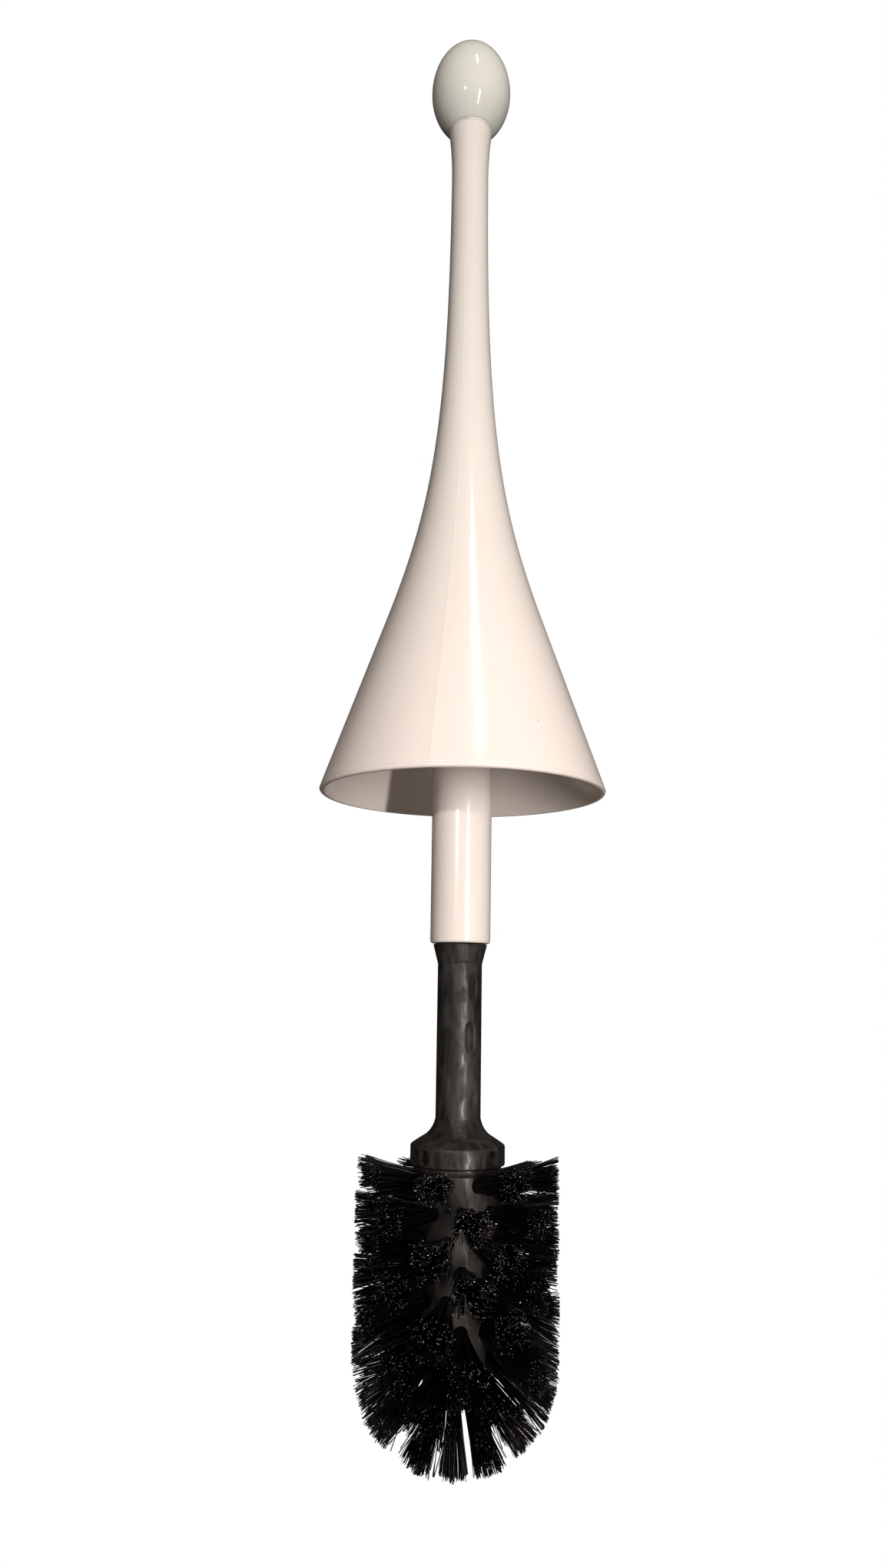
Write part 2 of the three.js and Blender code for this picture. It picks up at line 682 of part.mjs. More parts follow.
const WHITE = finish(0xeee4d8, 0.18, 0);
const KNOB_WHITE = finish(0xd6d2c8, 0.1, 0);
const BLACK = finish(0x262321, 0.5, 0);
const BRISTLE = finish(0x0b0a0a, 0.45, 0);
const SEAL_BLACK = finish(0x1a1a1a, 0.8, 0);
const BRASS = finish(0xb89a55, 0.35, 1);
const STEEL = finish(0x9a9ca0, 0.35, 1);

const brush = new THREE.Group();

function put(name, geometry, material) {
  const mesh = new THREE.Mesh(geometry, material);
  mesh.name = name;
  brush.add(mesh);
}

put('knob', knob(), KNOB_WHITE);
put('knob_insert', knobInsert(), BRASS);
put('handle_bell', handleBell(), WHITE);
put('tie_rod', tieRod(), STEEL);
put('tie_rod_washer', washer(), STEEL);
put('tie_rod_nut', nut(), STEEL);
put('centring_cone', centringCone(), WHITE);
put('inner_tube', innerTube(), WHITE);
put('socket_bush', socketBush(), BLACK);
put('stem_seal', stemSeal(), SEAL_BLACK);
put('brush_stem', brushStem(), BLACK);
put('bristle_core', bristleCore(), BLACK);
for (let row = 0; row < ROW_COUNT; row++) {
  put(`bristle_row_${row + 1}`, bristleRow(row), BRISTLE);
}
endPlaces().forEach((place, index) => put(`end_tuft_${index + 1}`, endTuft(place), BRISTLE));
put('end_tuft_centre', endTuft(centrePlace()), BRISTLE);

export default brush;
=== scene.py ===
"""Looks for the toilet brush: fine meshes for its moulded pieces, loose filaments for its tufts, procedural
plastics, soft studio light and the camera. Lengths are in millimetres until a mesh is made, then metres."""
import math

import bpy
import numpy as np
from mathutils import Matrix, Vector


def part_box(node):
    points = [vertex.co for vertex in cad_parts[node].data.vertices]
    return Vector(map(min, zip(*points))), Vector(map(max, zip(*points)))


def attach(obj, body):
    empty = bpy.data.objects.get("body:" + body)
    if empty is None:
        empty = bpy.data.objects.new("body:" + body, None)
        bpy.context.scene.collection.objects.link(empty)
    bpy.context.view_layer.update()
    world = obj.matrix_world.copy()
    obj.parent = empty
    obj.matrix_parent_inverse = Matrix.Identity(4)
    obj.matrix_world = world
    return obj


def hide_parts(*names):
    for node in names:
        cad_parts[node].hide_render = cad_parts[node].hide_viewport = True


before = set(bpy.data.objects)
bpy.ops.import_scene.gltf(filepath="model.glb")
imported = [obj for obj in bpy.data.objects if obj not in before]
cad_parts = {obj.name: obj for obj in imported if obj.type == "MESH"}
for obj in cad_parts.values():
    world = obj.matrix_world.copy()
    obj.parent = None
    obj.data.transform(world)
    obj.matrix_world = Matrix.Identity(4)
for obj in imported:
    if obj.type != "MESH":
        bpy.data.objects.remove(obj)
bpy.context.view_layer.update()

MM = 0.001
SEED = 7


def node_z(node):
    """A CAD node's lowest and highest height, in millimetres."""
    low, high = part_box(node)
    return low[2] / MM, high[2] / MM


# ---- Driving dimensions: those of the CAD model, and of the fine detail added to it ----

MOUTH_Z = node_z("handle_bell")[1]
TUBE_MOUTH_Z, TUBE_TOP_Z = node_z("inner_tube")
COLLAR_BOTTOM_Z, SPIGOT_TOP_Z = node_z("brush_stem")
BRUSH_BOTTOM_Z = node_z("end_tuft_centre")[0]
EGG_TOP_Z = node_z("knob")[1]
GAP = 0.3  # clearance between pieces that meet

# Knob
EGG_HEIGHT_ABOVE, EGG_HEIGHT_BELOW = 22.7, 20.8
EGG_Z = EGG_TOP_Z - EGG_HEIGHT_ABOVE
EGG_RADIUS = 16.6
EGG_SEAT_RADIUS = 8.6
SPIGOT_RADIUS, SPIGOT_LENGTH = 6.3, 9.0
INSERT_HOLE_RADIUS = 4.3
ROD_HOLE_RADIUS = 2.8
ROD_END_ROOM = 0.9  # between the rod's end and the floor of its hole

# Handle bell. The handles of its bend's Bezier curve reach up from the cone and down from the neck
RIM_RADIUS, RIM_ROUNDING = 53.4, 1.0
RIM_CREASE = ((1.4, 0), (1.8, 0.02), (2.0, 0.14), (2.2, 0.02))  # height and depth
CONE_SLOPE = 0.353  # radius lost per millimetre of height
CONE_TOP = (30.9, 65.0)
BEND_REACH_LOW, BEND_REACH_HIGH = 48, 115
NECK_RADIUS, NECK_Z = 7.6, 261.6
MOUTH_RADIUS, MOUTH_REACH = 9.0, 12
MOUTH_GROOVE = ((0.08, 1.25), (0.30, 1.10), (0.30, 0.90), (0.02, 0.75))  # depth, and drop below the mouth
LIP_STEP, LIP_STEP_TURNS = 0.28, (-8, 40)  # a raised stretch of the mouth's lip, between two turns
BELL_WALL = 2.4

# Inner tube
TUBE_RADII = (11.0, 11.45)
TUBE_BORE_RADIUS = 9.2
TUBE_END_WALL = 3.5

# Brush stem
FLARE_RADIUS = 9.8
FLARE_TOP_Z, FLARE_BOTTOM_Z = -55.5, -62.3
SHANK_RADIUS, SHANK_BOTTOM_Z = 8.05, -116.5
FILLET_CORNER, SHOULDER, SHOULDER_CORNER = (8.9, -120.7), (12, -122.6), (16.5, -125.35)
COLLAR_RADIUS, COLLAR_TOP_Z = 16.75, -125.9
COLLAR_BORE = (14.3, -126.0)
THREAD_RADII = (6.1, 7.0)
THREAD_LEAD = 4.0
THREAD_BOTTOM_Z = -52.8
THREAD_RUN_IN, THREAD_RUN_OUT = 1.6, 1.4  # heights over which the thread rises and fades
SPIGOT_NECK_RADIUS = 5.9
WINDOW_COUNT, WINDOW_RADIUS, WINDOW_Z = 4, 2.6, -129.0
WINDOW_SPAN, CHAMFER_SPAN = (12.5, 19), (16.0, 17.8)  # distances from the axis that the cutters run between
WINDOW_CHAMFER = 0.8
NUB_RADIUS, NUB_TAPER = 2.15, 0.1
NUB_SPAN = (13.0, 15.7)

# Bristle core and tufts. Tilts are degrees down from level, and turns are degrees from the front towards +X
CORE_TOP, CORE_BOTTOM = (14.6, -135.0), (11.0, -203.0)
CORE_DOME = 9.0
CORE_FLANGE_RADIUS, CORE_BOSS_RADIUS = 15.5, 14.0
ROW_COUNT, TUFTS_PER_ROW, END_TUFTS = 7, 8, 6
ROW_TOP_Z, ROW_PITCH = -137.7, 9.5
ROW_TILTS = (-9, 0, 4, 7, 12, 21, 31)
ODD_ROW_TURN, EVEN_ROW_TURN = -15, 7.5
END_TILT, END_SEAT, END_TURN = 47, 23, 30
HOLE_RADIUS, HOLE_END_RADIUS, END_HOLE_DEPTH = 2.6, 7.8, 3.6
HOLE_CUT_DEPTH = 1.6  # under the core's surface: the filaments hide the rest of a hole
TRIM_RADIUS, TRIM_BEND_Z = 35.4, -196.0


# ---- Outlines and meshes ----

def arc(centre, radii, start, end, count):
    """Points on an ellipse arc, from one angle to another in degrees."""
    angles = np.radians(np.linspace(start, end, count))
    return [(centre[0] + radii[0] * math.cos(a), centre[1] + radii[1] * math.sin(a)) for a in angles]


def bezier(points, count):
    """Points and directions on a Bezier curve of any degree, evenly in its parameter."""
    control = np.array(points, float)
    degree = len(control) - 1
    t = np.linspace(0, 1, count)[:, None]

    def blend(values, n):
        return sum(math.comb(n, k) * (1 - t) ** (n - k) * t ** k * values[k] for k in range(n + 1))

    where = blend(control, degree)
    along = blend(np.diff(control, axis=0), degree - 1)
    along /= np.linalg.norm(along, axis=1)[:, None]
    return where, along


def mesh_object(name, points, faces, sharp=35):
    """A smooth-shaded object from points in millimetres, with edges sharper than an angle kept sharp."""
    mesh = bpy.data.meshes.new(name)
    mesh.from_pydata([tuple(p) for p in np.asarray(points, float) * MM], [], faces)
    mesh.validate()
    mesh.polygons.foreach_set("use_smooth", [True] * len(mesh.polygons))
    mesh.set_sharp_from_angle(angle=math.radians(sharp))
    obj = bpy.data.objects.new(name, mesh)
    bpy.context.scene.collection.objects.link(obj)
    return obj


def revolve(name, outline, columns, ring=False, shift=None, sharp=35):
    """Turns an outline of radius and height about Z. A ring's outline closes on itself, and any other starts
    and ends on the axis. It runs up the outside. shift(angles, radius, height) gives moved copies of them."""
    outline = [(float(r), float(z)) for r, z in outline]
    turn = np.arange(columns) * 2 * math.pi / columns - math.pi / 2
    inside = outline if ring else outline[1:-1]
    points = []
    for r, z in inside:
        angles, radii, heights = turn, np.full(columns, r), np.full(columns, z)
        if shift:
            angles, radii, heights = shift(angles, radii, heights)
        points.append(np.stack([radii * np.cos(angles), radii * np.sin(angles), heights], axis=1))
    points = np.concatenate(points)
    faces = []
    rows = len(inside)
    for row in range(rows if ring else rows - 1):
        low, high = row * columns, (row + 1) % rows * columns
        for i in range(columns):
            j = (i + 1) % columns
            faces.append((low + i, low + j, high + j, high + i))
    if not ring:
        ends = np.array([[0, 0, outline[0][1]], [0, 0, outline[-1][1]]])
        first, last = len(points), len(points) + 1
        points = np.concatenate([points, ends])
        top = (rows - 1) * columns
        for i in range(columns):
            j = (i + 1) % columns
            faces.append((first, j, i))
            faces.append((last, top + i, top + j))
    return mesh_object(name, points, faces, sharp)


def steps(points, spacing):
    """The outline with points added so that no step is longer than the spacing."""
    out = [points[0]]
    for a, b in zip(points, points[1:]):
        count = max(1, math.ceil(math.dist(a, b) / spacing))
        for k in range(1, count + 1):
            out.append((a[0] + (b[0] - a[0]) * k / count, a[1] + (b[1] - a[1]) * k / count))
    return out


def cut(obj, cutter):
    """Takes the cutter out of an object and removes the cutter."""
    bpy.context.view_layer.objects.active = obj
    change = obj.modifiers.new("cut", "BOOLEAN")
    change.operation = "DIFFERENCE"
    change.solver = "EXACT"
    change.object = cutter
    bpy.context.view_layer.update()
    evaluated = obj.evaluated_get(bpy.context.evaluated_depsgraph_get())
    mesh = bpy.data.meshes.new_from_object(evaluated)
    obj.modifiers.clear()
    obj.data = mesh
    mesh.polygons.foreach_set("use_smooth", [True] * len(mesh.polygons))
    mesh.set_sharp_from_angle(angle=math.radians(32))
    bpy.data.objects.remove(cutter)


def join(obj, other):
    """Adds another mesh to an object's own."""
    mesh, more = obj.data, other.data
    points = [tuple(v.co) for v in mesh.vertices] + [tuple(v.co) for v in more.vertices]
    shifted = [tuple(i + len(mesh.vertices) for i in face.vertices) for face in more.polygons]
    faces = [tuple(face.vertices) for face in mesh.polygons] + shifted
    mesh.clear_geometry()
    mesh.from_pydata(points, [], faces)
    mesh.polygons.foreach_set("use_smooth", [True] * len(mesh.polygons))
    mesh.set_sharp_from_angle(angle=math.radians(32))
    bpy.data.objects.remove(other)


def bars(name, places, sides):
    """Closed round bars as one cutter. Each place is a start, an end and the radii there, in millimetres."""
    points, faces = [], []
    for start, end, *radii in places:
        start, end = np.array(start, float), np.array(end, float)
        along = (end - start) / np.linalg.norm(end - start)
        across = np.cross(along, (0, 0, 1) if abs(along[2]) < 0.9 else (1, 0, 0))
        across /= np.linalg.norm(across)
        other = np.cross(along, across)
        base = len(points)
        for centre, radius in ((start, radii[0]), (end, radii[-1])):
            for i in range(sides):
                a = 2 * math.pi * i / sides
                points.append(centre + radius * (math.cos(a) * across + math.sin(a) * other))
        for i in range(sides):
            j = (i + 1) % sides
            faces.append((base + i, base + j, base + sides + j, base + sides + i))
        faces.append(tuple(base + i for i in reversed(range(sides))))
        faces.append(tuple(base + sides + i for i in range(sides)))
    return mesh_object(name, points, faces)


def from_front(degrees):
    """The angle about Z of a direction turned by so many degrees from the front towards +X."""
    return math.radians(degrees - 90)


# ---- Materials ----

class Surface:
    """A material with one Principled shader, and short ways to drive its colour, roughness and bump."""

    def __init__(self, name, roughness, colour=(0.8, 0.8, 0.8), coat=0.0):
        self.material = bpy.data.materials.new(name)
        self.material.use_nodes = True
        self.tree = self.material.node_tree
        self.shader = self.tree.nodes["Principled BSDF"]
        self.shader.inputs["Roughness"].default_value = roughness
        self.shader.inputs["Base Color"].default_value = (*colour, 1)
        self.shader.inputs["Coat Weight"].default_value = coat
        self.shader.inputs["Coat Roughness"].default_value = 0.05
        self.place = self.tree.nodes.new("ShaderNodeTexCoord").outputs["Object"]

    def link(self, source, target):
        self.tree.links.new(source, target)

    def noise(self, scale, detail=3.0, stretch=(1, 1, 1), distortion=0.0):
        """Noise of so many features a metre, stretched along an axis by a share under 1."""
        mapping = self.tree.nodes.new("ShaderNodeMapping")
        mapping.inputs["Scale"].default_value = stretch
        self.link(self.place, mapping.inputs["Vector"])
        node = self.tree.nodes.new("ShaderNodeTexNoise")
        node.inputs["Scale"].default_value = scale
        node.inputs["Detail"].default_value = detail
        node.inputs["Distortion"].default_value = distortion
        self.link(mapping.outputs["Vector"], node.inputs["Vector"])
        return node.outputs["Fac"]

    def specks(self, scale, size):
        """1 in small round specks, and 0 between them."""
        node = self.tree.nodes.new("ShaderNodeTexVoronoi")
        node.inputs["Scale"].default_value = scale
        node.inputs["Randomness"].default_value = 1.0
        self.link(self.place, node.inputs["Vector"])
        return self.ramp(node.outputs["Distance"], size, size * 0.6)

    def ramp(self, value, low, high):
        """The value mapped from low..high to 0..1, held within it."""
        node = self.tree.nodes.new("ShaderNodeMapRange")
        node.inputs["From Min"].default_value = low
        node.inputs["From Max"].default_value = high
        self.link(value, node.inputs["Value"])
        return node.outputs["Result"]

    def height(self, low, high):
        """0 below one height and 1 above another, in millimetres, and between them a smooth rise."""
        parts = self.tree.nodes.new("ShaderNodeSeparateXYZ")
        self.link(self.place, parts.inputs["Vector"])
        return self.ramp(parts.outputs["Z"], low * MM, high * MM)

    def scaled(self, value, low, high):
        """A value from 0..1 mapped to low..high."""
        node = self.tree.nodes.new("ShaderNodeMapRange")
        node.inputs["To Min"].default_value = low
        node.inputs["To Max"].default_value = high
        self.link(value, node.inputs["Value"])
        return node.outputs["Result"]

    def product(self, a, b):
        node = self.tree.nodes.new("ShaderNodeMath")
        node.operation = "MULTIPLY"
        self.link(a, node.inputs[0])
        self.link(b, node.inputs[1])
        return node.outputs["Value"]

    def mix(self, factor, below, above):
        """A colour between two, each a colour or an output."""
        node = self.tree.nodes.new("ShaderNodeMix")
        node.data_type = "RGBA"
        self.link(factor, node.inputs["Factor"])
        for key, value in ((6, below), (7, above)):
            if isinstance(value, tuple):
                node.inputs[key].default_value = (*value, 1)
            else:
                self.link(value, node.inputs[key])
        return node.outputs[2]

    def colour(self, output):
        self.link(output, self.shader.inputs["Base Color"])

    def roughness(self, output):
        self.link(output, self.shader.inputs["Roughness"])

    def bump(self, height, depth):
        """Bump of so many millimetres, on top of any that is there."""
        node = self.tree.nodes.new("ShaderNodeBump")
        node.inputs["Distance"].default_value = depth * MM
        self.link(height, node.inputs["Height"])
        normal = self.shader.inputs["Normal"]
        if normal.is_linked:
            self.link(normal.links[0].from_socket, node.inputs["Normal"])
        self.link(node.outputs["Normal"], normal)


PAINTED_SHADE_Z = (20, 230)  # the heights between which the handle's white turns from its low to its high shade: painted shade, darker and greyer towards the top where less light falls
STAIN = (0.93, 0.905, 0.885)  # share of each channel that the cloudy stain leaves
SPECK_BROWN = (0.25, 0.17, 0.11)


def white_plastic(name, low, high, roughness):
    """Glossy moulded white, painted darker and greyer from low to high in the piece as shade: a faint cloudy
    stain, fine orange peel, smudges in the gloss and a few specks."""
    s = Surface(name, roughness, low)
    # painted shade: the white turns darker and greyer from the bell up to the neck
    shaded_white = s.mix(s.height(*PAINTED_SHADE_Z), low, high)
    cloud = s.ramp(s.noise(9, detail=4), 0.35, 0.7)
    tint = s.mix(s.scaled(cloud, 0, 0.35), shaded_white, tuple(c * t for c, t in zip(low, STAIN)))
    speck = s.product(s.specks(70, 0.03), s.ramp(s.noise(23, detail=1), 0.56, 0.6))
    s.colour(s.mix(s.scaled(speck, 0, 0.55), tint, SPECK_BROWN))
    smudge = s.ramp(s.noise(38, detail=5, distortion=0.6), 0.4, 0.75)
    s.roughness(s.scaled(smudge, roughness, roughness + 0.07))
    s.bump(s.noise(420, detail=2), depth=0.006)
    s.bump(s.noise(45, detail=1), depth=0.03)
    s.shader.inputs["Subsurface Weight"].default_value = 0.08
    s.shader.inputs["Subsurface Radius"].default_value = (0.004, 0.003, 0.002)
    s.shader.inputs["Subsurface Scale"].default_value = 1.0
    return s.material


def black_plastic(name, dark, worn, roughness, wear):
    """Moulded black: fine grain, scuffs along and across it, and chalky worn patches."""
    s = Surface(name, roughness, dark)
    s.shader.inputs["Specular IOR Level"].default_value = 0.42
    patch = s.ramp(s.noise(260, detail=7, stretch=(1, 1, 0.3), distortion=0.5), 0.42, 0.66)
    scratch = s.ramp(s.noise(900, detail=2, stretch=(1, 1, 0.045), distortion=0.2), 0.62, 0.74)
    cross = s.ramp(s.noise(700, detail=2, stretch=(0.12, 0.12, 1.6), distortion=0.3), 0.66, 0.78)
    tint = s.mix(s.scaled(patch, 0, wear), dark, worn)
    tint = s.mix(s.scaled(scratch, 0, 0.35 * wear), tint, worn)
    s.colour(s.mix(s.scaled(cross, 0, 0.4 * wear), tint, worn))
    mottle = s.ramp(s.noise(480, detail=8, stretch=(1, 1, 0.35)), 0.36, 0.64)
    s.roughness(s.scaled(mottle, roughness - 0.16, roughness + 0.22))
    s.bump(s.noise(1500), depth=0.02)
    s.bump(scratch, depth=0.015)
    s.bump(s.noise(90), depth=0.05)
    return s.material


def filament_plastic(name, colour, tip, roughness):
    """Extruded bristle plastic with a slightly varying shade from filament to filament."""
    s = Surface(name, roughness, colour)
    s.colour(s.mix(s.ramp(s.noise(900, detail=1), 0.46, 0.72), colour, tip))
    s.roughness(s.scaled(s.noise(400, detail=1), roughness - 0.06, roughness + 0.1))
    return s.material


def metal(name, colour, roughness):
    """Turned or plated metal with fine lines round it."""
    s = Surface(name, roughness, colour)
    s.shader.inputs["Metallic"].default_value = 1.0
    lines = s.noise(1500, detail=2, stretch=(0.1, 0.1, 1))
    s.colour(s.mix(s.scaled(lines, 0, 0.4), colour, tuple(0.6 * c for c in colour)))
    s.roughness(s.scaled(lines, roughness, roughness + 0.15))
    s.bump(lines, depth=0.01)
    return s.material


HANDLE_WHITE = white_plastic("handle_white", (0.85, 0.785, 0.745), (0.64, 0.625, 0.593), 0.13)
KNOB_WHITE = white_plastic("knob_white", (0.635, 0.625, 0.587), (0.635, 0.655, 0.617), 0.07)
STEM_BLACK = black_plastic("stem_black", (0.007, 0.0055, 0.0048), (0.055, 0.051, 0.048), 0.48, 0.5)
CORE_BLACK = black_plastic("core_black", (0.009, 0.0075, 0.007), (0.04, 0.035, 0.033), 0.52, 0.4)
BRISTLE_BLACK = filament_plastic("bristle_black", (0.0016, 0.0013, 0.0012), (0.0035, 0.003, 0.0028), 0.2)
# the cut ends' colour: partly paler cut plastic, partly painted glints where it turns lighter in random spots
BRISTLE_CUT_GLINT = filament_plastic("bristle_cut_glint", (0.035, 0.033, 0.031), (0.30, 0.285, 0.27), 0.2)
SEAL_RUBBER = black_plastic("seal_rubber", (0.012, 0.012, 0.012), (0.05, 0.05, 0.05), 0.7, 0.2)
BRASS = metal("brass", (0.62, 0.46, 0.2), 0.25)
STEEL = metal("steel", (0.42, 0.43, 0.45), 0.28)


def finish(obj, body, node, slot, *materials):
    """Gives a new piece its materials and its body, and hides the CAD node that it stands for."""
    obj.data.materials.clear()
    for material in materials:
        obj.data.materials.append(material)
    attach(obj, body)
    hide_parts(node)
    return obj


# ---- Handle bell ----

def bell_bend():
    """Points and directions on the bend between the cone and the neck."""
    low_handle = (CONE_TOP[0] - CONE_SLOPE * BEND_REACH_LOW, CONE_TOP[1] + BEND_REACH_LOW)
    high_handle = (NECK_RADIUS, NECK_Z - BEND_REACH_HIGH)
    return bezier([CONE_TOP, low_handle, high_handle, (NECK_RADIUS, NECK_Z)], 46)


def cone_radius(height):
    """The cone's outer radius at a height. It starts as the rim's radius, where the rim's rounding ends."""
    return RIM_RADIUS - CONE_SLOPE * (height - RIM_ROUNDING)


def bell_outside():
    """The bell's outer side, from under the rim up to the groove below its mouth."""
    crease_top = RIM_CREASE[-1][0] + 0.4
    flare_handle = (NECK_RADIUS, NECK_Z + MOUTH_REACH)
    flare, _ = bezier([(NECK_RADIUS, NECK_Z), flare_handle, (MOUTH_RADIUS, MOUTH_Z - 0.5)], 12)
    return [
        *arc((RIM_RADIUS - RIM_ROUNDING, RIM_ROUNDING), (RIM_ROUNDING, RIM_ROUNDING), -90, 0, 9),
        *[(cone_radius(z) - depth, z) for z, depth in RIM_CREASE],
        *steps([(cone_radius(crease_top), crease_top), CONE_TOP], 3)[:-1],
        *bell_bend()[0],
        *flare[1:-1],
        *[(MOUTH_RADIUS - depth, MOUTH_Z - drop) for depth, drop in MOUTH_GROOVE],
    ]


def bell_outline():
    """The bell's section: the rim, up the outside to the mouth, and back down the inside."""
    bend, along = bell_bend()
    inside = np.stack([bend[:, 0] - BELL_WALL * along[:, 1], bend[:, 1] + BELL_WALL * along[:, 0]], axis=1)
    inner = inside[0][0] + CONE_SLOPE * inside[0][1]
    seat = SPIGOT_RADIUS + GAP
    mouth = [
        *arc((MOUTH_RADIUS - 0.45, MOUTH_Z - 0.45), (0.45, 0.45), 20, 90, 5),
        *arc((seat + 0.25, MOUTH_Z - 0.25), (0.25, 0.25), 90, 180, 4),
        (seat, MOUTH_Z - SPIGOT_LENGTH),
        (NECK_RADIUS - BELL_WALL, MOUTH_Z - SPIGOT_LENGTH),
    ]
    cone_inside = steps([tuple(inside[0]), (inner - CONE_SLOPE * 0.6, 0.6)], 4)[1:]
    rim = arc((inner + 0.35, 0.35), (0.35, 0.35), 180, 270, 5)
    return bell_outside() + mouth + [tuple(p) for p in inside[::-1]] + cone_inside + rim


BELL_CURVE = np.array(bell_outside())
PARTING_TURN = -13.0  # degrees from the front towards +X, and again on the far side
PARTING_WIDTH = 0.34
PARTING_HEIGHT = 0.03


def parting_line(angles, radii, heights):
    """Raises the mould's parting line on the outside and a stretch of the mouth's lip."""
    columns = len(angles)
    angles, radii, heights = angles.copy(), radii.copy(), heights.copy()
    radius, height = radii[0], heights[0]
    outer_radius = np.interp(height, BELL_CURVE[:, 1], BELL_CURVE[:, 0])
    if radius > outer_radius - 0.8 and 2 < height < MOUTH_Z - 1:
        for turn in (PARTING_TURN, PARTING_TURN + 180):
            crest = from_front(turn)
            nearest = round((crest + math.pi / 2) / (2 * math.pi / columns)) % columns
            half = PARTING_WIDTH / 2 / radius
            for step, lift in ((-1, 0.0), (0, PARTING_HEIGHT), (1, 0.0)):
                angles[(nearest + step) % columns] = crest + step * half
                radii[(nearest + step) % columns] += lift
    if height > MOUTH_Z - 0.3:
        turned = np.degrees(np.arctan2(np.sin(angles + math.pi / 2), np.cos(angles + math.pi / 2)))
        low, high = LIP_STEP_TURNS
        heights = heights + np.where((turned > low) & (turned < high), LIP_STEP, 0.0)
    return angles, radii, heights


shell = revolve("handle_shell", bell_outline(), 200, ring=True, shift=parting_line)
finish(shell, "handle", "handle_bell", "handle_white", HANDLE_WHITE)


# ---- Knob ----

def knob_outline():
    """The egg over its spigot, with the bore for the insert and the rod."""
    seat = math.degrees(math.acos(EGG_SEAT_RADIUS / EGG_RADIUS))
    below = arc((0, EGG_Z), (EGG_RADIUS, EGG_HEIGHT_BELOW), -seat + 1.5, 0, 30)
    above = arc((0, EGG_Z), (EGG_RADIUS, EGG_TOP_Z - EGG_Z), 0, 90, 44)
    seat_z = EGG_Z - EGG_HEIGHT_BELOW * math.sin(math.radians(seat))
    bottom = node_z("knob")[0]
    bore_top = node_z("knob_insert")[1] + GAP
    rod_top = node_z("tie_rod")[1] + ROD_END_ROOM
    return [
        (0, rod_top),
        (ROD_HOLE_RADIUS, rod_top),
        (ROD_HOLE_RADIUS, bore_top),
        (INSERT_HOLE_RADIUS, bore_top),
        (INSERT_HOLE_RADIUS, bottom),
        (SPIGOT_RADIUS - 0.5, bottom),
        (SPIGOT_RADIUS, bottom + 0.5),
        (SPIGOT_RADIUS, seat_z),
        (EGG_SEAT_RADIUS - 0.35, seat_z),
        (EGG_SEAT_RADIUS, seat_z + 0.12),
        *below,
        *above[1:],
    ]


knob = revolve("knob_egg", knob_outline(), 128)
finish(knob, "handle", "knob", "knob_white", KNOB_WHITE)


# ---- Inner tube ----

def tube_outline():
    """Up the outside from the rounded mouth, and back down the bore through the end wall's hole."""
    low, high = TUBE_RADII
    outside = steps([(low, TUBE_MOUTH_Z + 1.3), (high, TUBE_TOP_Z - 1)], 4)
    return [
        (TUBE_BORE_RADIUS, TUBE_MOUTH_Z + 0.3),
        (TUBE_BORE_RADIUS + 0.3, TUBE_MOUTH_Z),
        *arc((low - 0.9, TUBE_MOUTH_Z + 1.0), (0.9, 1.0), -90, 0, 8),
        *outside,
        (high - 0.4, TUBE_TOP_Z),
        (ROD_HOLE_RADIUS, TUBE_TOP_Z),
        (ROD_HOLE_RADIUS, TUBE_TOP_Z - TUBE_END_WALL),
        (TUBE_BORE_RADIUS, TUBE_TOP_Z - TUBE_END_WALL),
    ]


tube = revolve("tube_skin", tube_outline(), 96, ring=True)
finish(tube, "handle", "inner_tube", "handle_white", HANDLE_WHITE)


# ---- Brush stem ----

# The shallow pockets' turn from the front towards +X, top, bottom and half width
POCKETS = ((38, -66, -75, 2.0), (31, -83, -94, 2.3), (44, -106.5, -111.5, 1.7))
POCKET_DEPTH = 0.45
POCKET_EDGE = (1.1, 0.2)  # how far a pocket's slope reaches inside and outside its half width


def smooth(value, low, high):
    """0 below low and 1 above high, with a smooth rise between them."""
    t = np.clip((value - low) / (high - low), 0, 1)
    return t * t * (3 - 2 * t)


def stem_shift(angles, radii, heights):
    """Winds the thread on the spigot, and sinks the pockets in the shank."""
    radius, height = radii[0], heights[0]
    if THREAD_BOTTOM_Z < height < SPIGOT_TOP_Z and radius > THREAD_RADII[0] - 0.05:
        phase = ((height - THREAD_BOTTOM_Z) / THREAD_LEAD - angles / (2 * math.pi)) % 1
        lobe = np.interp(phase, [0, 0.25, 0.5, 0.75, 1], [0, 1, 1, 0, 0])
        start = smooth(height, THREAD_BOTTOM_Z, THREAD_BOTTOM_Z + THREAD_RUN_IN)
        end = smooth(-height, -SPIGOT_TOP_Z, THREAD_RUN_OUT - SPIGOT_TOP_Z)
        return angles, radii + lobe * start * end * (THREAD_RADII[1] - THREAD_RADII[0]), heights
    if FLARE_BOTTOM_Z > height > SHANK_BOTTOM_Z + 0.5 and radius > SHANK_RADIUS - 0.2:
        sunk = np.zeros_like(radii)
        inwards, outwards = POCKET_EDGE
        for turn, top, bottom, wide in POCKETS:
            away = from_front(turn) - angles
            across = np.arctan2(np.sin(away), np.cos(away)) * radius
            middle = np.clip(height, bottom + wide, top - wide)
            reach = np.hypot(across, height - middle)
            sunk = np.maximum(sunk, POCKET_DEPTH * (1 - smooth(reach, wide - inwards, wide + outwards)))
        return angles, radii - sunk, heights
    return angles, radii, heights


